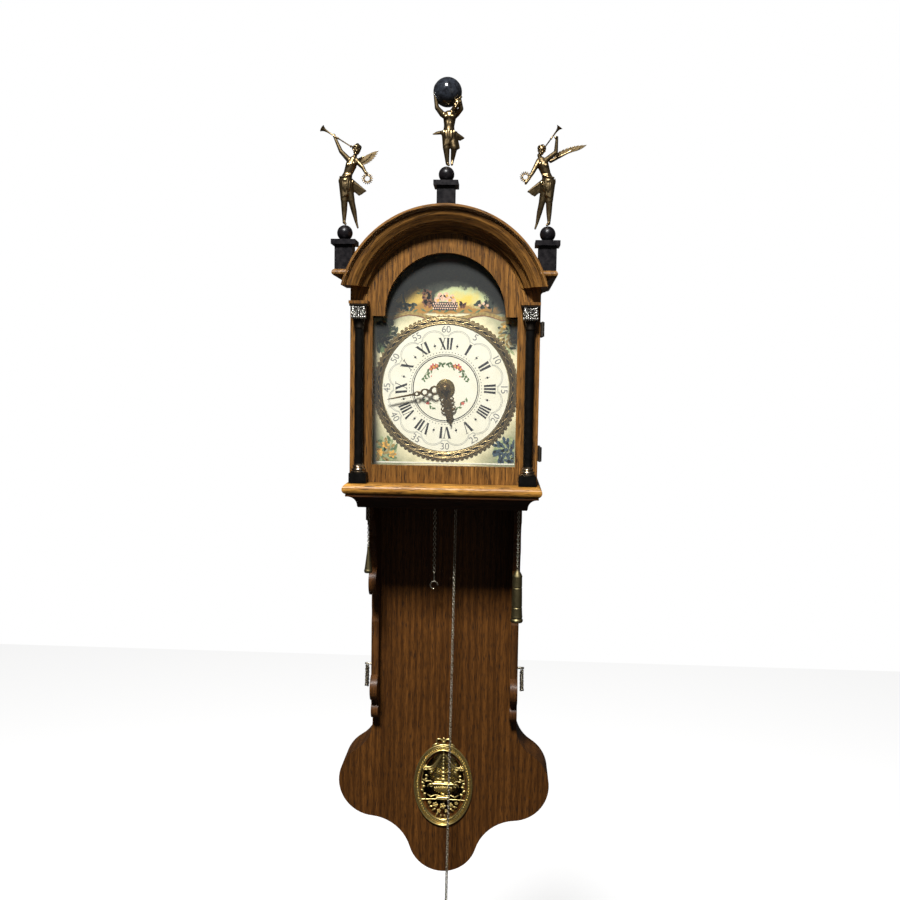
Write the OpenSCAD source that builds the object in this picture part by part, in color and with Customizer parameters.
// Short-tailed wall clock: an arched hood with a glazed door over a flat tail,
// with a chain-driven movement, a pendulum and an alarm.
// Origin: centre of the wall hanger's hole. +X right, +Y to the wall, +Z up.

/* [Opening and dial] */
// Width of the glass opening
opening_w = 181; // [160:1:210]
// Height of the opening's shoulders above the dial's centre
opening_up = 89.5; // [86:0.5:100]
// Depth of the opening below the dial's centre
opening_down = 97.5; // [88:0.5:105]
// Radius of the arch of the glass opening
arch_r = 75; // [60:1:80]
// Height of the arch's centre above the dial's centre
arch_lift = 93; // [92:1:110]
// Distance from the hanger's hole down to the dial's centre
dial_drop = 110; // [100:1:125]
// Outer radius of the ornamental dial ring
ring_r = 94; // [84:1:96]
// Radius of the white chapter disc
disc_r = 81; // [60:1:83]

/* [Hood] */
// Width of the hood over its sides
hood_w = 237; // [225:1:260]
// Distance from the wall to the front of the door
hood_depth = 170; // [165:1:190]
// Thickness of the hood's side boards
side_t = 9; // [6:0.5:12]
// Thickness of the door
door_t = 16; // [12:0.5:20]
// Height of the door's bottom rail
rail_h = 22; // [18:1:30]
// Width of the door's arch band outside the opening
arch_band = 23.5; // [16:0.5:24]
// Height of the frieze above the door
frieze_h = 17.5; // [12:0.5:22]
// Projection of the cornice
cornice_out = 18.5; // [14:0.5:24]
// Height of the cornice
cornice_h = 19; // [17:1:26]
// Radial depth of the arched cornice
arch_cornice = 31; // [29:1:36]
// Forward projection of the arched cornice
arch_out = 32; // [24:1:36]

/* [Base and tail] */
// Thickness of the base board
base_t = 13.5; // [10:0.5:18]
// Height of the cove moulding under the base board
cove_h = 17.5; // [12:0.5:24]
// Width of the straight part of the tail
tail_w = 203; // [180:1:210]
// Outer depth of the tail, without its front board
tail_box = 50; // [44:1:60]
// Thickness of the tail's boards
board_t = 10; // [6:0.5:12]
// Height of the tail's widest point below the dial's centre
lobe_drop = 559; // [520:1:620]
// Radius of the tail's side lobes
lobe_r = 52; // [40:1:60]
// Radius of the tail's bottom lobe
foot_r = 49; // [36:1:56]
// Width of the oval in the tail
oval_w = 66; // [50:1:76]
// Height of the oval in the tail
oval_h = 98; // [70:1:110]

/* [Movement] */
// Width of the movement's plates
plate_w = 96; // [90:1:110]
// Thickness of the plates
plate_t = 2.5; // [2:0.5:4]
// Distance between the plates
plate_gap = 57.5; // [55:0.5:60]
// Radius of the wheels' pivots
pivot_r = 1.2; // [1:0.1:1.5]
// Radial play of the pivots
pivot_play = 0.05; // [0.02:0.01:0.1]
// Pitch radius of the main chain sprocket
sprocket_r = 12.5; // [11:0.5:15]
// Length of the pendulum from its pivot to the bob's centre
pendulum_l = 612; // [520:1:640]
// Radius of the pendulum bob
bob_r = 33; // [25:1:36]

/* [Chains] */
// Width of the main chain
chain_d = 4.8; // [4:0.2:5.6]
// Width of the alarm chain
small_chain_d = 3.6; // [3:0.2:4]
// Height of the main chain's hook below the dial's centre
hook_drop = 262; // [220:1:300]
// Distance of each alarm chain from the middle
alarm_x = 97; // [85:1:98]
// Length of the alarm weight
weight_l = 68; // [50:1:80]

/* [Hidden] */
$fn = 64;
eps = 0.01;
clear = 0.3;           // clearance between pieces that only lie near each other
seat_gap = 40;         // height of the space under the seat board
dial_z = -dial_drop;
door_top = opening_up + frieze_h;              // above the dial's centre
door_r = arch_r + arch_band;
hood_low = dial_z - opening_down - rail_h;     // underside of hood and door
base_top = hood_low - clear;
base_low = base_top - base_t;
cove_low = base_low - cove_h;
door_back = hood_depth - door_t;
tail_y = tail_box + board_t;                   // front of the tail, from the wall
cornice_low = door_top + clear + frieze_h;     // above the dial's centre
cornice_top = cornice_low + cornice_h;
arch_out_r = door_r + clear + arch_cornice;
base_out = 25;                                 // base board beyond the hood's front
base_side = 6;                                 // and beyond its sides
hinge_x = hood_w / 2 + 2.6;
hinge_y = -hood_depth - 2;
hinge_levels = [75, -80];                      // hinges, above the dial's centre
knuckle_r = 2.4;
pin_r = 1.2;
column_x = hood_w / 2 - 12.5;
column_r = 5.6;
plinth_w = 22;
pedestal_x = hood_w / 2 + cornice_out - 12.5;
pedestal_y = -hood_depth - 8;
pedestal_w = 22;
cap_w = 30;
cap_t = 6;
ball_r = 9.6;
globe_r = 17.8;
pedestal_top = cornice_top + 37;               // side pedestals, above the dial's centre
crest_top = arch_lift + arch_out_r + 29;       // middle pedestal
plate_low = -70;
plate_high = 64;
seat_t = 12;
seat_top = dial_z + plate_low;
dial_back = 135;                               // back of the dial plate, from the wall
motion_space = 17.5;                           // room for the motion work behind the dial
front_plate_y = motion_space - dial_back;      // back face of the front plate
back_plate_y = front_plate_y + plate_gap;      // front face of the back plate
dial_t = 2;
dial_front = dial_back + dial_t;
disc_t = 2;
// Wheel train: teeth and gear modules
great_teeth = 72;
centre_leaves = 12;
great_m = 0.8;
centre_teeth = 90;
third_leaves = 10;
centre_m = 0.5;
third_teeth = 86;
escape_leaves = 10;
third_m = 0.42;
cannon_leaves = 12;
minute_teeth = 36;
minute_leaves = 10;
hour_teeth = 40;
motion_m = 0.8;
escape_teeth = 30;
escape_r = 12;
great_z = -great_m * (great_teeth + centre_leaves) / 2;
third_gap = centre_m * (centre_teeth + third_leaves) / 2;
third_x = 15;
third_z = sqrt(third_gap * third_gap - third_x * third_x);
escape_gap = third_m * (third_teeth + escape_leaves) / 2;
escape_z = third_z + sqrt(escape_gap * escape_gap - third_x * third_x);
anchor_z = escape_z + 17;
motion_gap = motion_m * (cannon_leaves + minute_teeth) / 2;
hour_m = 2 * motion_gap / (minute_leaves + hour_teeth);
minute_x = -motion_gap * cos(45);
minute_z = motion_gap * sin(45);
third_turn = mesh_turn(centre_teeth, 0, atan2(third_z, third_x), third_leaves);
escape_turn = mesh_turn(third_teeth, 0, atan2(escape_z - third_z, -third_x), escape_leaves);
minute_turn = mesh_turn(cannon_leaves, 0, 135, minute_teeth);
hour_turn = mesh_turn(minute_leaves, 0, -45, hour_teeth);
hammer_x = 41;
hammer_z = 46;
bell_z = plate_high + 18;
bell_r = 34;
bell_y = -88;
pendulum_y = -30;
bob_z = anchor_z - pendulum_l;
hour_pipe_r = 3.4;
centre_r = 1.9;
// Alarm gear under the seat board
alarm_y = -146;
pulley_r = 4;
pulley_z = -112;                               // above the dial's centre
pulley_x = alarm_x - pulley_r - small_chain_d / 2 - clear;
alarm_chain_z = pulley_z + pulley_r + small_chain_d / 2 + clear;
// Routes of the chains: points chosen by hand, above or below the dial's centre
main_y = -94;
main_x = sprocket_r + 2;
strand_top = great_z - 1.5;
hook_top = -hook_drop + 8;
main_left = [for (z = [strand_top, -60, -90, -120, -150, -180, -215, hook_top]) [-main_x, main_y, z]];
main_right = [[main_x, -94, strand_top], [main_x, -94, -80], [14, -94, -130], [13.4, -94.5, -180], [13, -95, -230],
              [12.6, -96, -280], [12.2, -97, -330], [11.8, -98, -380], [11.3, -99, -430], [10.8, -100, -480],
              [10.3, -101, -530], [9.8, -102, -580], [9.4, -103, -620], [9, -103.5, -665], [8.6, -104, -714]];
alarm_right_top = pulley_z;
alarm_right_low = -233;
alarm_left_low = -207;

oak = "#7a4a22";
golden_oak = "#a8692c";
dark_oak = "#5a3318";
black = "#16130f";
brass = "#b08d3e";
bronze = "#8a6b3a";
steel = "#8d8f92";
white = "#f2efe4";

// ---------------------------------------------------------------- helpers

// Height in the model's frame from a height above the dial's centre
function up(z) = dial_z + z;

// Points on an arc round c
function arc(c, r, from, to, steps = 12) =
    [for (i = [0:steps]) let (a = from + (to - from) * i / steps) [c[0] + r * cos(a), c[1] + r * sin(a)]];

function direction(p, q) = atan2(q[1] - p[1], q[0] - p[0]);

// Where circles round p and q meet, on the right-hand side of the way from p to q
function circle_meet(p, rp, q, rq) =
    let (d = norm(q - p), a = (rp * rp - rq * rq + d * d) / (2 * d), h = sqrt(rp * rp - a * a), u = (q - p) / d)
    [p[0] + a * u[0] + h * u[1], p[1] + a * u[1] - h * u[0]];

// Puts a cylinder along Y, from y0 towards the front
module along_y(r, y0, y1, hole = 0) {
    translate([0, max(y0, y1), 0])
        rotate([90, 0, 0])
            difference() {
                cylinder(r = r, h = abs(y1 - y0));
                if (hole > 0) translate([0, 0, -1]) cylinder(r = hole, h = abs(y1 - y0) + 2);
            }
}

// Stands a flat outline up as a board whose front is at y_front
module board(y_front, t) {
    translate([0, y_front + t, 0]) rotate([90, 0, 0]) linear_extrude(t) children();
}

module both_sides() {
    children();
    mirror([1, 0, 0]) children();
}

// A rounded stick between two points
module stick(p, rp, q, rq, fine = 12) {
    hull() {
        translate(p) sphere(r = rp, $fn = fine);
        translate(q) sphere(r = rq, $fn = fine);
    }
}

// A wheel's or pinion's outline, with straight-flanked teeth that clear their mate
function gear_points(teeth, m, turn = 0) =
    let (rp = teeth * m / 2, tip = rp + 0.72 * m, root = rp - 1.05 * m, p = 360 / teeth)
    [for (i = [0:teeth - 1]) for (s = [[root, -0.31], [rp, -0.205], [tip, -0.08], [tip, 0.08], [rp, 0.205], [root, 0.31]])
        let (a = turn + (i + s[1]) * p) [s[0] * cos(a), s[0] * sin(a)]];

// Turn of a wheel of nb teeth that meshes with one of na teeth turned by ta, which it sees at angle a
function mesh_turn(na, ta, a, nb) = a + 180 - (180 - (a - ta) * na) / nb;

// A spoked wheel along Y with its back at y0
module wheel(teeth, m, t, y0, hub_r, turn = 0, spokes = 4) {
    rim = teeth * m / 2 - 1.05 * m - 2.2;
    translate([0, y0, 0])
        rotate([90, 0, 0])
            linear_extrude(t)
                difference() {
                    polygon(gear_points(teeth, m, turn));
                    if (spokes > 0) difference() {
                        circle(r = rim);
                        circle(r = hub_r + 1.6);
                        for (k = [0:spokes - 1]) rotate(k * 360 / spokes) translate([0, -1.2]) square([rim + 1, 2.4]);
                    }
                }
}

// A swept tube of eight sides along a route of points
module cord_tube(route, d) {
    n = len(route);
    sides = 8;
    points = [for (i = [0:n - 1])
        let (a = route[max(i - 1, 0)], b = route[min(i + 1, n - 1)], t = (b - a) / norm(b - a),
             u = cross(t, [0, 1, 0]) / norm(cross(t, [0, 1, 0])), v = cross(t, u))
        for (k = [0:sides - 1]) route[i] + d / 2 * (cos(k * 360 / sides) * u + sin(k * 360 / sides) * v)];
    faces = concat(
        [[for (k = [0:sides - 1]) k]],
        [for (i = [0:n - 2]) for (k = [0:sides - 1])
            [i * sides + k, (i + 1) * sides + k, (i + 1) * sides + (k + 1) % sides, i * sides + (k + 1) % sides]],
        [[for (k = [sides - 1:-1:0]) (n - 1) * sides + k]]);
    translate([0, 0, dial_z]) polyhedron(points = points, faces = faces, convexity = 4);
}

// A solid whose front and sides all follow one moulding profile [out, height]
module moulding(half_w, front, profile, deep = 0) {
    low = profile[0][1];
    high = profile[len(profile) - 1][1];
    intersection() {
        translate([-half_w - 60, 0, 0]) rotate([90, 0, 90])
            linear_extrude(2 * half_w + 120)
                polygon(concat([for (p = profile) [-front - p[0], p[1]]], [[-deep, high], [-deep, low]]));
        translate([0, 20, 0]) rotate([90, 0, 0])
            linear_extrude(front + 80)
                polygon(concat([for (p = profile) [half_w + p[0], p[1]]],
                               [for (i = [len(profile) - 1:-1:0]) [-half_w - profile[i][0], profile[i][1]]]));
    }
}

// ---------------------------------------------------------------- case

lobe = [tail_w / 2 - 4.5, up(-lobe_drop)];
neck_r = 48;
neck = [tail_w / 2 + neck_r, lobe[1] + sqrt(pow(neck_r + lobe_r, 2) - pow(tail_w / 2 + neck_r - lobe[0], 2))];
foot = [0, lobe[1] - 81];
cusp_r = 62;
cusp = circle_meet(foot, foot_r + cusp_r, lobe, lobe_r + cusp_r);
tail_top = base_low;

// Right half of the tail's outline, from its top to its foot
function tail_half() = concat(
    [[tail_w / 2, tail_top]],
    arc(neck, neck_r, 180, 360 + direction(neck, lobe), 8),
    arc(lobe, lobe_r, direction(lobe, neck), direction(lobe, cusp), 24),
    arc(cusp, cusp_r, direction(cusp, lobe), direction(cusp, foot), 10),
    arc(foot, foot_r, direction(foot, cusp), -90, 10));

// Outline that is the same on both sides of the middle, from its right half
module symmetric(half) {
    polygon(concat(half, [for (i = [len(half) - 2:-1:0]) [-half[i][0], half[i][1]]]));
}

module tail_outline() {
    symmetric(tail_half());
}

oval_z = up(-lobe_drop - 2.5);

module oval(w, h) {
    translate([0, oval_z]) scale([w / h, 1]) circle(d = h, $fn = 48);
}

hanger_r = 4;
hanger_w = 40;

// Back board, behind the hood and the whole tail
module backboard() {
    arch_edge = door_r - 2;
    shoulder = acos((cornice_low - arch_lift) / arch_edge);
    arch_half = [for (a = [shoulder / 40:shoulder / 20:shoulder]) [arch_edge * sin(a), up(arch_lift) + arch_edge * cos(a)]];
    color(dark_oak)
        difference() {
            board(-board_t, board_t)
                symmetric(concat(arch_half,
                                 [[arch_edge * sin(shoulder), up(cornice_low)], [hood_w / 2, up(cornice_low)],
                                  [hood_w / 2, tail_top]],
                                 tail_half()));
            // recess for the hanger plate, and the nail's way through it
            translate([-hanger_w / 2 - clear, -2 - clear, -14 - clear]) cube([hanger_w + 2 * clear, 3 + clear, 28 + 2 * clear]);
            translate([-9, -8, -9]) cube([18, 9, 18]);
        }
}

module tail_front() {
    color(dark_oak)
        board(-tail_y, board_t)
            difference() {
                tail_outline();
                oval(oval_w - 6, oval_h - 6);
            }
}

// Bent rim between the tail's back and front boards
module tail_rim() {
    color(dark_oak)
        board(-tail_box, tail_box - board_t)
            difference() {
                tail_outline();
                offset(delta = -board_t) tail_outline();
                translate([-tail_w / 2 + board_t, tail_top - board_t - 1]) square([tail_w - 2 * board_t, board_t + 2]);
            }
}

console_low = -463;
console_deep = 80;

// Side view of a console: [distance in front of the tail, height above the dial's centre]
module console_outline() {
    top = cove_low - dial_z;
    difference() {
        union() {
            polygon(concat([[0, console_low + 10], [0, top], [console_deep, top], [console_deep, top - 22]],
                arc([console_deep, top - 50], 28, 90, 180, 8),
                [[52, top - 62], [18, top - 130], [18, console_low + 30], [6, console_low]]));
            translate([46, -209]) circle(r = 12);
            translate([34, -263]) circle(r = 19);
            translate([16, -417]) circle(r = 18);
            translate([8, console_low + 12]) circle(r = 12);
        }
        translate([57, -233]) circle(r = 9);
        translate([47, -313]) circle(r = 31);
        translate([52, -379]) circle(r = 34);
        translate([34, -445]) circle(r = 13);
        translate([-40, console_low - 20]) square([40, 400]);
    }
}

module consoles() {
    color(oak)
        both_sides()
            translate([tail_w / 2, 0, dial_z])
                rotate([90, 0, -90])
                    linear_extrude(board_t)
                        translate([tail_y, 0]) console_outline();
}

module base_board() {
    nose = base_t / 2;
    profile = arc([base_side - nose, base_low + nose], nose, -90, 90, 10);
    color(golden_oak)
        difference() {
            moulding(hood_w / 2, hood_depth + base_out - base_side, profile);
            // well for the chains and the pendulum
            translate([-tail_w / 2 + 14, -door_back + 18, base_low - 1]) cube([tail_w - 28, door_back - 18 - board_t, base_t + 2]);
            translate([-hood_w / 2 - 60, -board_t - clear, base_low - 1]) cube([hood_w + 120, 60, base_t + 2]);
            for (s = [-1, 1]) translate([s * alarm_x, alarm_y, base_low - 1]) cylinder(r = small_chain_d / 2 + 2.2, h = base_t + 2);
        }
}

module base_moulding() {
    low = base_side - 17;
    high = base_side - 4;
    bend = arc([high, cove_low + 2], high - low, 180, 90, 8);
    profile = concat([[low - 1, cove_low], [low, cove_low + 2]], bend, [[high, base_low]]);
    color(oak)
        difference() {
            moulding(hood_w / 2, hood_depth + base_out - base_side,
                     [for (p = profile) [p[0], min(p[1], base_low)]]);
            translate([-tail_w / 2 + 14, -door_back + 18, cove_low - 1]) cube([tail_w - 28, door_back - 18 - board_t, cove_h + 2]);
            translate([-hood_w / 2 - 60, -board_t - clear, cove_low - 1]) cube([hood_w + 120, 60, cove_h + 2]);
            // the head of the tail stands inside the moulding
            translate([-tail_w / 2 - clear, -tail_y - clear, cove_low - 1]) cube([tail_w + 2 * clear, tail_y + clear, cove_h + 2]);
            for (s = [-1, 1]) translate([s * alarm_x, alarm_y, cove_low - 1]) cylinder(r = small_chain_d / 2 + 2.2, h = cove_h + 2);
        }
}

// Seat board on two bearers, slotted for the main chain and the pendulum
module seat_board() {
    y_front = -118;
    color(oak) {
        difference() {
            translate([-90, y_front - 10, seat_top - seat_t]) cube([180, -y_front + 10 - board_t - clear, seat_t]);
            for (s = [-1, 1]) translate([s * main_x, main_y, seat_top - seat_t - 1]) cylinder(r = chain_d / 2 + 3, h = seat_t + 2);
            translate([-40, pendulum_y - 7, seat_top - seat_t - 1]) cube([80, 14, seat_t + 2]);
        }
        for (s = [-1, 1])
            translate([s * 84 - 6, y_front, base_top])
                cube([12, -y_front - board_t - clear, seat_top - seat_t - base_top]);
    }
}

module hanger_plate() {
    color(steel)
        translate([0, 0, 0]) rotate([90, 0, 0])
            linear_extrude(2)
                difference() {
                    translate([-hanger_w / 2, -14]) square([hanger_w, 28]);
                    circle(r = hanger_r);
                    for (s = [-1, 1]) translate([s * 15, 0]) circle(r = 2);
                }
}

// Oval ring and openwork on the front of the tail
ornament_t = 5;

module tail_ornament() {
    color(brass)
        board(-tail_y - ornament_t, ornament_t) {
            difference() {
                oval(oval_w + 18, oval_h + 22);
                oval(oval_w, oval_h);
            }
            intersection() {
                oval(oval_w + 2, oval_h + 2);
                union() {
                    for (z = [-30, 0, 30]) translate([-50, oval_z + z - 3]) square([100, 6]);
                    translate([-4, oval_z - 60]) square([8, 120]);
                    translate([0, oval_z - 8]) circle(r = 15);
                    for (s = [-1, 1]) translate([s * 21, oval_z - 6]) circle(r = 8);
                }
            }
            translate([0, oval_z + oval_h / 2 + 12]) circle(r = 9);
        }
}

hook_z = up(-384);

// Side hooks on the consoles, each with spare chain looped over it
module spare_chains() {
    color(steel)
        both_sides()
            translate([tail_w / 2, -tail_y - 16, hook_z]) {
                rotate([0, 90, 0]) cylinder(r = 1.6, h = 9);
                translate([2.5, -4, -34]) cube([6, 8, 32]);
            }
}

// ---------------------------------------------------------------- movement

// Places children at a point of the movement, [x, height above the dial's centre]
module at(x, z) {
    translate([x, 0, up(z)]) children();
}

pivots = [[0, great_z], [0, 0], [third_x, third_z], [0, escape_z], [0, anchor_z], [hammer_x, hammer_z]];
pillars = [[-40, -62], [40, -62], [-40, 56], [24, 56]];

module plate_outline() {
    difference() {
        translate([-plate_w / 2, plate_low]) square([plate_w, plate_high - plate_low]);
        for (p = pivots) translate(p) circle(r = (p == [0, 0] ? centre_r : pivot_r) + pivot_play);
    }
}

module movement_plates() {
    color(brass) {
        translate([0, 0, dial_z]) board(front_plate_y - plate_t, plate_t) difference() {
            plate_outline();
            translate([minute_x, minute_z]) circle(r = 1.5);
        }
        translate([0, 0, dial_z]) board(back_plate_y, plate_t) plate_outline();
    }
}

module plate_pillars() {
    color(brass) {
        for (p = pillars) at(p[0], p[1]) along_y(4.5, front_plate_y, back_plate_y);
        for (s = [-1, 1]) for (z = [-55, 50]) at(s * 44, z) along_y(3, front_plate_y - plate_t, -dial_back);
        // stud of the minute wheel
        at(minute_x, minute_z) along_y(1.5, front_plate_y, front_plate_y - 14);
    }
}

// Dial plate with an arch, screwed to the dial feet
dial_half = opening_w / 2 + 8;

module dial_plate() {
    color(white)
        translate([0, 0, dial_z])
            board(-dial_front, dial_t)
                difference() {
                    union() {
                        translate([-dial_half, -opening_down - 6]) square([2 * dial_half, opening_down + opening_up + 6]);
                        translate([-arch_r - 6, opening_up - 1]) square([2 * arch_r + 12, arch_lift - opening_up + 1]);
                        translate([0, arch_lift]) circle(r = arch_r + 6);
                    }
                    circle(r = hour_pipe_r + 0.6);
                }
}

module chapter_disc() {
    color(white)
        at(0, 0) along_y(disc_r, -dial_front, -dial_front - disc_t, hour_pipe_r + 0.6);
}

module dial_ring() {
    color(brass)
        at(0, 0) along_y(ring_r, -dial_front, -dial_front - 3.2, disc_r + clear);
}

post_r = 2.5;
bell_t = 1.8;

// Half section of the bell, open downwards, with a hole for its post
module bell_profile() {
    difference() {
        scale([1, 0.72]) circle(r = bell_r);
        scale([1, 0.72]) circle(r = bell_r - bell_t);
        translate([-2 * bell_r, -bell_r]) square([2 * bell_r + post_r + 0.1, 2 * bell_r]);
        translate([0, -bell_r]) square([2 * bell_r, bell_r]);
    }
}

module bell() {
    color(brass)
        translate([0, bell_y, up(bell_z)]) rotate_extrude() bell_profile();
}

// Arm on the back plate, with the bell's post and its nut
module bell_stand() {
    crown = bell_z + bell_r * 0.72;
    color(steel) {
        at(0, 0) translate([-6, bell_y - 6, plate_high + 2]) cube([12, back_plate_y + plate_t - bell_y + 6 + 2, 3]);
        at(0, 0) translate([-6, back_plate_y + plate_t, plate_high - 5]) cube([12, 2, 10]);
        translate([0, bell_y, up(plate_high + 4)]) cylinder(r = post_r, h = crown - plate_high - 4 + 7);
        translate([0, bell_y, up(crown + 0.2)]) cylinder(r = 5, h = 3.4);
        translate([0, bell_y, up(crown - bell_t - 4)]) cylinder(r = 4, h = 3.4);
    }
}

module suspension_cock() {
    color(brass)
        at(0, anchor_z) {
            difference() {
                union() {
                    translate([-8, back_plate_y + plate_t, 3]) cube([16, 34, 4]);
                    translate([-8, back_plate_y + plate_t, -9]) cube([16, 2.5, 14]);
                }
                along_y(pivot_r + pivot_play + 0.6, back_plate_y, back_plate_y + 8);
            }
            translate([-1.5, pendulum_y - 1, -1]) cube([3, 2, 5]);
        }
}

// Forks that carry the alarm gear's pulleys, on the base board
module alarm_bracket() {
    color(brass) {
        for (x = [-pulley_x, 0, pulley_x])
            translate([x, 0, 0]) {
                difference() {
                    translate([-3, alarm_y + 3.4, base_top]) cube([6, 2, up(pulley_z) + 3 - base_top]);
                    at(0, pulley_z) along_y(pivot_r + pivot_play, alarm_y - 10, alarm_y + 10);
                }
                translate([-3, alarm_y + 3.4, base_top]) cube([6, 9, 2]);
            }
    }
}

module alarm_chain_cross() {
    color(steel)
        cord_tube([for (x = [-pulley_x:pulley_x / 6:pulley_x + eps]) [x, alarm_y, alarm_chain_z]], small_chain_d);
}

// Chain lying over the top of the main sprocket
module main_chain_over() {
    color(steel)
        cord_tube([for (a = [180:-15:0]) [main_x * cos(a), main_y, great_z + main_x * sin(a)]], chain_d);
}

// ---------------------------------------------------------------- train

module arbor(x, z, from_y, to_y, r = pivot_r) {
    at(x, z) along_y(r, from_y, to_y);
}

front_end = front_plate_y - plate_t - 1.5;
back_end = back_plate_y + plate_t + 1.5;

module great_wheel() {
    color(brass) at(0, great_z) wheel(great_teeth, great_m, 3, -100.6, 5);
    color(steel) {
        arbor(0, great_z, front_end, back_end);
        at(0, great_z) along_y(3, -103.6, back_plate_y - 8, pivot_r - eps);
    }
}

// Chain sprocket, loose on the great wheel's arbor behind the wheel
module main_sprocket() {
    color(brass)
        at(0, great_z) {
            r = sprocket_r - chain_d / 2 - clear + 2;
            along_y(r, main_y + 2, main_y - 2, 3 + pivot_play);
            along_y(r + 0.2, main_y + 2, main_y + 5, 3 + pivot_play);
            along_y(r + 0.2, main_y - 2, main_y - 5, 3 + pivot_play);
        }
}

module centre_wheel() {
    color(brass) {
        at(0, 0) wheel(centre_teeth, centre_m, 2, -80, centre_r + 2);
        at(0, 0) wheel(cannon_leaves, motion_m, 3, front_plate_y - plate_t - 1, 3, 0, 0);
    }
    color(steel) {
        arbor(0, 0, -dial_front - 15, back_end, centre_r);
        at(0, 0) wheel(centre_leaves, great_m, 10, -96, 3, mesh_turn(great_teeth, 0, 90, centre_leaves), 0);
    }
}

module third_wheel() {
    color(brass) at(third_x, third_z) wheel(third_teeth, third_m, 1.8, -69, 3);
    color(steel) {
        arbor(third_x, third_z, front_end, back_end);
        at(third_x, third_z) wheel(third_leaves, centre_m, 8, -77, 3, third_turn, 0);
    }
}

module escape_wheel() {
    color(brass)
        at(0, escape_z) translate([0, -62, 0]) rotate([90, 0, 0]) linear_extrude(1.6) difference() {
            polygon([for (i = [0:escape_teeth - 1]) for (s = [[escape_r - 2.4, 0], [escape_r, 0.42], [escape_r, 0.5], [escape_r - 2.4, 0.62]])
                let (a = (i + s[1]) * 360 / escape_teeth) [s[0] * cos(a), s[0] * sin(a)]]);
            difference() {
                circle(r = escape_r - 4);
                circle(r = 4);
                for (k = [0:3]) rotate(k * 90) translate([0, -0.8]) square([escape_r, 1.6]);
            }
        }
    color(steel) {
        arbor(0, escape_z, front_end, back_end);
        at(0, escape_z) wheel(escape_leaves, third_m, 8, -66, 3, escape_turn, 0);
    }
}

// Anchor with its pallets clear of the teeth, and the crutch behind the plate
module anchor() {
    gap = anchor_z - escape_z;
    pallet_gap = 0.9;
    color(steel) {
        at(0, anchor_z) {
            translate([0, -62, 0]) rotate([90, 0, 0]) linear_extrude(1.8) difference() {
                circle(r = gap - escape_r + 6.5);
                circle(r = gap - escape_r + 1.5 + 2.2);
                translate([-20, -2]) square([40, 30]);
                translate([0, -gap]) circle(r = escape_r + pallet_gap);
            }
            translate([-9, -63.8, -2.4]) cube([18, 1.8, 3]);
        }
        arbor(0, anchor_z, front_end, back_plate_y + plate_t + 5);
        at(0, anchor_z) {
            translate([-1, back_plate_y + plate_t + 3.4, -46]) cube([2, 1.6, 46]);
            for (s = [-1, 1]) translate([s * 2.4 - 0.6, back_plate_y + plate_t + 3.4, -48]) cube([1.2, pendulum_y - back_plate_y - plate_t - 1, 2.5]);
            translate([-3, back_plate_y + plate_t + 3.4, -48]) cube([6, 1.6, 2.5]);
        }
    }
}

motion_back = front_plate_y - plate_t - 1;

module minute_wheel() {
    color(brass)
        at(minute_x, minute_z) difference() {
            union() {
                wheel(minute_teeth, motion_m, 2.2, motion_back - 0.4, 4, minute_turn);
                wheel(minute_leaves, hour_m, 4, motion_back - 2.4, 3, 0, 0);
            }
            along_y(1.5 + pivot_play, motion_back + 2, motion_back - 10);
        }
}

module hour_wheel() {
    color(brass)
        at(0, 0) {
            difference() {
                wheel(hour_teeth, hour_m, 2, motion_back - 3.6, hour_pipe_r, hour_turn);
                along_y(centre_r + pivot_play, 0, -300);
            }
            along_y(hour_pipe_r - 0.6, motion_back - 4, -dial_front - 8, centre_r + pivot_play);
        }
}

// ---------------------------------------------------------------- hands

hour_hand_l = 48;
minute_hand_l = 76;
hour_angle = -80.5;      // direction of the hour hand, from +X
minute_angle = -168.5;   // direction of the minute hand

module hand(length, turn, y0, t, bore, loops) {
    translate([0, y0, up(0)]) rotate([90, 0, 0]) linear_extrude(t) rotate(turn) difference() {
        union() {
            circle(r = bore + 4);
            for (p = loops) translate([p[0], 0]) circle(r = p[1]);
            translate([0, -1.1]) square([length * 0.9, 2.2]);
            polygon([[length * 0.85, -1.1], [length, -0.3], [length, 0.3], [length * 0.85, 1.1]]);
        }
        circle(r = bore);
        for (p = loops) translate([p[0], 0]) circle(r = p[1] - 1.4);
    }
}

module alarm_disc() {
    color(brass)
        at(0, 0) along_y(12, -dial_front - disc_t - 1.2, -dial_front - disc_t - 2.2, hour_pipe_r + 0.15);
}

module hour_hand() {
    color(black)
        hand(hour_hand_l, hour_angle, -dial_front - 5.2, 1.2, hour_pipe_r - 0.6, [[14, 6], [24, 5], [32, 3.4]]);
}

module minute_hand() {
    color(black)
        hand(minute_hand_l, minute_angle, -dial_front - 9.2, 1.2, centre_r, [[12, 5.4], [21, 4.6], [29, 3.6]]);
    color(brass)
        at(0, 0) along_y(3.2, -dial_front - 10.6, -dial_front - 12.4, centre_r);
}

// ---------------------------------------------------------------- strike and pendulum

module strike_hammer() {
    color(steel) {
        arbor(hammer_x, hammer_z, front_end, back_end);
        at(hammer_x, hammer_z) {
            translate([-1, bell_y - 1, 0]) cube([2, 2, bell_z - hammer_z + 2]);
            along_y(2.6, bell_y + 4, bell_y - 4, pivot_r - eps);
        }
    }
    color(brass)
        translate([bell_r + 0.8, bell_y, up(bell_z + 3)]) rotate([0, 90, 0]) cylinder(r = 3.6, h = hammer_x - bell_r + 2);
}

module pendulum_rod() {
    color(brass)
        translate([0, pendulum_y, 0]) {
            difference() {
                translate([-1.5, -1, up(bob_z) - bob_r - 16]) cube([3, 2, pendulum_l + bob_r + 16 - 6]);
                translate([0, 0, up(bob_z) - bob_r - 17]) cylinder(r = 0.8, h = 0.5);
            }
        }
}

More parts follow.
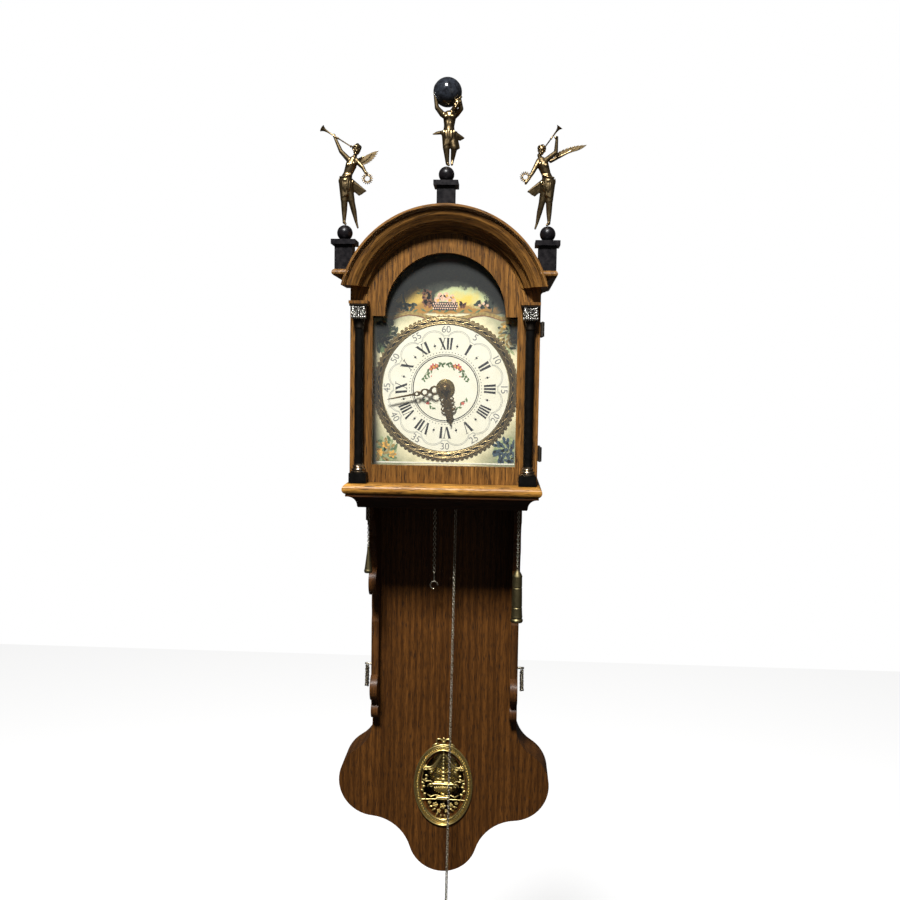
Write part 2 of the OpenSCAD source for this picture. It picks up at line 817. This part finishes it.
// Half section of the lens-shaped bob
function lens(r, half_t) =
    let (big = (r * r + half_t * half_t) / (2 * half_t), a = asin(r / big))
    concat([[0, -half_t]], [for (i = [1:9]) [big * sin(a * i / 10), -big * cos(a * i / 10) + big - half_t]], [[r, 0]],
           [for (i = [9:-1:1]) [big * sin(a * i / 10), big * cos(a * i / 10) - big + half_t]], [[0, half_t]]);

module pendulum_bob() {
    color(brass)
        translate([0, pendulum_y, up(bob_z)])
            difference() {
                rotate([90, 0, 0]) rotate_extrude() polygon(lens(bob_r, 6));
                translate([-1.55, -1.05, -bob_r - 1]) cube([3.1, 2.1, 2 * bob_r + 2]);
            }
}

// Nut under the bob, on the rod's end
module rating_nut() {
    color(brass)
        translate([0, pendulum_y, up(bob_z) - bob_r - 5])
            difference() {
                cylinder(r = 5, h = 3.4);
                translate([0, 0, -1]) cylinder(r = 1.85, h = 6);
            }
}

// ---------------------------------------------------------------- chains and weights

module main_chain_weight_side() {
    color(steel) cord_tube(main_left, chain_d);
}

module chain_hook() {
    color(brass)
        translate([-main_x, main_y, up(-hook_drop)]) {
            translate([0, 0, -1]) cylinder(r = 1.1, h = 9);
            translate([0, 0, -5]) rotate([90, 0, 0]) rotate_extrude(angle = 270, $fn = 32) translate([5, 0]) circle(r = 1, $fn = 16);
        }
}

module main_chain_free_side() {
    color(steel) cord_tube(main_right, chain_d);
}

module chain_end_ring() {
    last = main_right[len(main_right) - 1];
    color(brass)
        translate([last[0], last[1], up(last[2]) - 9.5]) rotate([90, 0, 0]) rotate_extrude($fn = 48) translate([8, 0]) circle(r = 1.4, $fn = 16);
}

module pulley(r, bore) {
    rotate([90, 0, 0]) translate([0, 0, -2.6]) rotate_extrude()
        polygon([[bore, 0], [r + 1.4, 0], [r + 1.4, 0.4], [r, 0.4], [r, 4.8], [r + 1.4, 4.8], [r + 1.4, 5.2], [bore, 5.2]]);
}

module pulley_on(x, z, r) {
    color(brass) translate([x, alarm_y, up(z)]) pulley(r, pivot_r - eps);
    color(steel) translate([x, 0, up(z)]) along_y(pivot_r, alarm_y - 3.6, alarm_y + 6.4);
}

module alarm_sprocket() {
    pulley_on(0, pulley_z, pulley_r);
}

module guide_pulley_left() {
    pulley_on(-pulley_x, pulley_z, pulley_r);
}

module guide_pulley_right() {
    pulley_on(pulley_x, pulley_z, pulley_r);
}

module alarm_strand(x, low) {
    color(steel) cord_tube([for (z = [alarm_right_top:(low - alarm_right_top) / 8:low - eps]) [x, alarm_y, z]], small_chain_d);
}

module alarm_chain_right() {
    alarm_strand(alarm_x, alarm_right_low);
}

module alarm_chain_left() {
    alarm_strand(-alarm_x, alarm_left_low);
}

// Turned brass weight with a cap and a flared foot
module alarm_weight() {
    color(brass)
        translate([alarm_x, alarm_y, up(alarm_right_low) - weight_l]) rotate_extrude()
            polygon([[0, 0], [7.2, 0], [8.2, 1.6], [8.2, 3.4], [7, 5], [7.6, 7], [7.2, 10], [6.8, weight_l * 0.28],
                     [6.3, weight_l * 0.29], [6.8, weight_l * 0.31], [6.4, weight_l * 0.66], [5.9, weight_l * 0.67], [6.4, weight_l * 0.69],
                     [6.2, weight_l - 9], [6.6, weight_l - 8], [6.2, weight_l - 6.6], [4.4, weight_l - 3], [2, weight_l], [0, weight_l]]);
}

module alarm_counterweight() {
    color(brass)
        translate([-alarm_x, alarm_y, up(alarm_left_low) - 34]) rotate_extrude()
            polygon([[0, 0], [4.6, 0], [5.4, 1.4], [5.4, 3.4], [4.8, 5], [1.6, 30], [1.6, 34], [0, 34]]);
}

// ---------------------------------------------------------------- hood

module hood_sides() {
    color(oak)
        for (s = [-1, 1])
            translate([s * (hood_w / 2 - side_t / 2) - side_t / 2, -door_back + clear, hood_low])
                cube([side_t, door_back - board_t - 2 * clear, up(cornice_low) - hood_low]);
}

roof_t = 6;

// Barrel roof behind the arch, with a flat strip over each side board
module hood_roof() {
    low = cornice_low;
    color(oak)
        translate([0, 0, dial_z])
            board(-door_back + clear, door_back - board_t - 2 * clear) {
                difference() {
                    translate([0, arch_lift]) circle(r = door_r);
                    translate([0, arch_lift]) circle(r = door_r - roof_t);
                    translate([-200, low - 400]) square([400, 400]);
                }
                for (s = [-1, 1]) translate([s > 0 ? 86 : -hood_w / 2, low]) square([hood_w / 2 - 86, roof_t]);
            }
}

// Arched cornice with its stepped hollow, the ears at its feet and the frieze under them
module hood_cornice() {
    steps = [[door_r + clear, 0], [door_r + clear + 4, 3], [door_r + clear + 4, 7], [door_r + clear + 10, 12],
             [door_r + clear + 12, 17], [door_r + clear + 12, 20], [door_r + clear + 19, 25], [door_r + clear + 25, 27],
             [door_r + clear + 26, arch_out - 3], [door_r + clear + 28, arch_out], [arch_out_r - 1, arch_out], [arch_out_r, arch_out - 2],
             [arch_out_r, -door_t]];
    cove_r = min(cornice_h - 11, 10);
    cove_x = cornice_out - 6;
    ears = concat([[0, cornice_low], [cove_x - cove_r, cornice_low + 2]],
                  arc([cove_x, cornice_low + 2], cove_r, 180, 90, 6),
                  [[cove_x, cornice_top - 8]],
                  arc([cornice_out - 4, cornice_top - 4], 4, -90, 90, 6));
    color(oak)
        translate([0, 0, dial_z]) {
            intersection() {
                translate([0, -hood_depth, arch_lift]) rotate([90, 0, 0])
                    rotate_extrude($fn = 128) polygon(concat([[door_r + clear, -door_t]], steps));
                translate([-200, -300, cornice_low]) cube([400, 300, 300]);
            }
            // ears, returned along the sides to the wall
            difference() {
                moulding(hood_w / 2, hood_depth + arch_out - cornice_out, ears, board_t + clear);
                translate([0, 0, arch_lift]) along_y(arch_out_r - 4, 0, -400);
                translate([-hood_w / 2, -door_back + clear, cornice_low - 1]) cube([hood_w, door_back, cornice_h + 2]);
                translate([-200, -clear - board_t, cornice_low - 1]) cube([400, 60, 60]);
            }
            // frieze
            difference() {
                translate([-hood_w / 2, -hood_depth, door_top + clear]) cube([hood_w, door_t, cornice_low - door_top - clear]);
                translate([0, 0, arch_lift]) along_y(door_r + clear, 0, -400);
            }
        }
}

module knuckles(level, odd) {
    for (k = odd ? [1] : [0, 2])
        translate([hinge_x, hinge_y, up(level) - 9 + 6 * k + 0.15])
            difference() {
                cylinder(r = knuckle_r, h = 5.7);
                if (odd) translate([0, 0, -1]) cylinder(r = pin_r + 0.05, h = 9);
            }
}

module hood_hinge_leaves() {
    color("#3a3026")
        for (level = hinge_levels) {
            knuckles(level, false);
            translate([hinge_x, hinge_y, up(level) - 9.5]) cylinder(r = pin_r, h = 19);
            // leaf on the hood's side board
            translate([hood_w / 2 + clear / 3, -door_back + 1, up(level) - 9]) cube([1.6, 12, 18]);
            for (k = [0, 2]) translate([hood_w / 2 + 2.2, hinge_y, up(level) - 9 + 6 * k + 0.15]) cube([1.4, 31, 5.7]);
            translate([hood_w / 2 + clear / 3, -door_back + 1, up(level) - 9]) cube([3.4, 12, 5.7]);
            translate([hood_w / 2 + clear / 3, -door_back + 1, up(level) + 3.15]) cube([3.4, 12, 5.7]);
        }
}

// Square pedestals with caps, and the black balls on them
module stand(x, z_foot, z_top) {
    translate([x, pedestal_y, 0]) {
        translate([-pedestal_w / 2, -pedestal_w / 2, up(z_foot)]) cube([pedestal_w, pedestal_w, z_top - cap_t - z_foot]);
        translate([-cap_w / 2, -cap_w / 2, up(z_top) - cap_t]) cube([cap_w, cap_w, cap_t]);
        translate([0, 0, up(z_top) + ball_r - 0.6]) sphere(r = ball_r);
    }
}

module finial_stands() {
    color(black)
        difference() {
            union() {
                for (s = [-1, 1]) stand(s * pedestal_x, cornice_top + 0.2, pedestal_top);
                stand(0, arch_lift + arch_out_r - 4, crest_top);
            }
            // the pedestals are fitted round the arch
            at(0, arch_lift) along_y(arch_out_r + 0.1, 0, -400);
        }
}

ball_top = 2 * ball_r - 0.6;

// Figures: rounded limbs as [point, radius, point, radius], from the top of the ball
atlas_limbs = [
    [[-2, 0, 2.6], 2.2, [-2, 0, 24], 3.2], [[-2, 0, 24], 3.2, [-1, 0, 42], 5], [[6, 2, 12], 2, [3, 0, 30], 3.2],
    [[3, 0, 30], 3.2, [1, 0, 42], 5], [[0, 0, 42], 7, [0, 0, 62], 8], [[-8, 0, 62], 3.4, [-18, 2, 76], 2.6],
    [[-18, 2, 76], 2.6, [-17, 0, 92], 2.6], [[8, 0, 62], 3.4, [15, 3, 74], 2.6], [[10, -3, 74], 6.4, [8, -2, 66], 4],
    [[-1, 0, 42], 6, [-15, 3, 48], 3]];
angel_limbs = [
    [[0, 0, 2.2], 2, [0, 0, 26], 3], [[0, 0, 26], 3.2, [1, 0, 52], 6], [[12, 3, -6], 1.8, [9, 2, 20], 3],
    [[9, 2, 20], 3, [4, 0, 50], 6], [[1, 0, 52], 8, [9, 0, 78], 7.4], [[14, 0, 91], 5.6, [15, 0, 95], 5.6],
    [[2, -1, 84], 3, [-12, 0, 112], 2], [[16, 0, 84], 3, [27, -2, 66], 2], [[25, -2, 52], 6, [27, -2, 64], 5],
    [[9, 0, 58], 6, [25, 3, 38], 2.6], [[-27, -2, 119], 3.4, [9, 0, 97], 1.2], [[14, 6, 80], 3, [28, 8, 88], 2]];

module figure(limbs, fine = 12) {
    for (l = limbs) stick(l[0], l[1], l[2], l[3], fine);
}

module atlas_finial() {
    color(bronze) translate([0, pedestal_y, up(crest_top) + ball_top]) {
        figure(atlas_limbs);
        translate([0, 0, 89]) sphere(r = globe_r, $fn = 32);
    }
}

module angels() {
    color(bronze) {
        translate([-pedestal_x, pedestal_y, up(pedestal_top) + ball_top]) figure(angel_limbs);
        translate([pedestal_x, pedestal_y, up(pedestal_top) + ball_top]) {
            mirror([1, 0, 0]) figure([for (k = [0:8]) angel_limbs[k]]);
            stick([-4, 4, 88], 5, [14, -10, 122], 4.4);
            stick([0, 4, 84], 5, [24, 8, 100], 5);
            stick([24, 8, 100], 5, [44, 8, 105], 2);
        }
    }
}

// ---------------------------------------------------------------- door

lip = 4;          // glass rests behind this much of the frame
glass_t = 2.4;

module opening(grow = 0) {
    translate([-opening_w / 2 - grow, -opening_down - grow])
        square([opening_w + 2 * grow, opening_down + opening_up + 2 * grow]);
    difference() {
        translate([0, arch_lift]) circle(r = arch_r + grow);
        translate([-200, -300]) square([400, 300 + opening_up]);
    }
}

module door_outline() {
    translate([-hood_w / 2, hood_low - dial_z]) square([hood_w, door_top - hood_low + dial_z]);
    difference() {
        translate([0, arch_lift]) circle(r = door_r);
        translate([-200, -300]) square([400, 300 + door_top - 1]);
    }
}

module door_frame() {
    color(oak)
        translate([0, 0, dial_z]) {
            board(-hood_depth, door_t - 6) difference() {
                door_outline();
                opening();
            }
            board(-door_back - 6, 6) difference() {
                door_outline();
                opening(lip);
            }
            // blocks over the capitals
            for (s = [-1, 1]) translate([s * column_x - 12, -hood_depth - 18, capital_top]) cube([24, 19, door_top - capital_top]);
        }
}

module door_glass() {
    color("#cfe0e0", 0.3)
        translate([0, 0, dial_z]) board(-door_back - 6 + clear, glass_t) opening(lip - clear);
}

capital_h = 30;
capital_top = door_top - 3.7;
ring_h = 11.4;
plinth_top = -opening_down - 9.3;

module columns() {
    shaft_low = plinth_top + ring_h;
    color(black)
        both_sides() translate([column_x, -hood_depth - column_r, 0]) {
            translate([0, 0, up(shaft_low)]) cylinder(r = column_r, h = capital_top - capital_h - shaft_low);
            translate([-plinth_w / 2, -12, hood_low + 0.4]) cube([plinth_w, 12 + column_r, up(plinth_top) - hood_low - 0.4]);
        }
}

// Brass capitals and base rings
module column_mounts() {
    color(brass)
        both_sides() translate([column_x, -hood_depth - column_r, 0]) {
            translate([0, 0, up(capital_top - capital_h)]) intersection() {
                rotate_extrude() polygon([[0, 0], [6.4, 0], [7, 3], [7, 9], [10, 16], [12, 30], [0, 30]]);
                translate([-11, -11, 0]) cube([22, 11 + column_r, capital_h]);
            }
            translate([0, 0, up(plinth_top)]) intersection() {
                rotate_extrude() polygon([[0, 0], [9.6, 0], [10, 2.2], [9.2, 4.4], [7, 6.2], [7.8, 8.6], [7, ring_h], [0, ring_h]]);
                translate([-11, -11, 0]) cube([22, 11 + column_r, 12]);
            }
        }
}

module door_hinge_leaves() {
    color("#3a3026")
        for (level = hinge_levels) {
            knuckles(level, true);
            translate([hood_w / 2 + clear / 3, -hood_depth + 0.4, up(level) - 9]) cube([1.2, door_t - 2, 18]);
            translate([hood_w / 2 + clear / 3, hinge_y + 1.5, up(level) - 2.85]) cube([1.4, 3, 5.7]);
        }
}

backboard();
tail_front();
tail_rim();
consoles();
base_board();
base_moulding();
seat_board();
hanger_plate();
tail_ornament();
spare_chains();
movement_plates();
plate_pillars();
dial_plate();
chapter_disc();
dial_ring();
bell();
bell_stand();
suspension_cock();
alarm_bracket();
alarm_chain_cross();
main_chain_over();
great_wheel();
main_sprocket();
centre_wheel();
third_wheel();
escape_wheel();
anchor();
minute_wheel();
hour_wheel();
hour_hand();
minute_hand();
alarm_disc();
strike_hammer();
pendulum_rod();
pendulum_bob();
rating_nut();
main_chain_weight_side();
chain_hook();
main_chain_free_side();
chain_end_ring();
alarm_sprocket();
guide_pulley_left();
guide_pulley_right();
alarm_chain_right();
alarm_weight();
alarm_chain_left();
alarm_counterweight();
hood_sides();
hood_roof();
hood_cornice();
hood_hinge_leaves();
finial_stands();
atlas_finial();
angels();
door_frame();
door_glass();
columns();
column_mounts();
door_hinge_leaves();
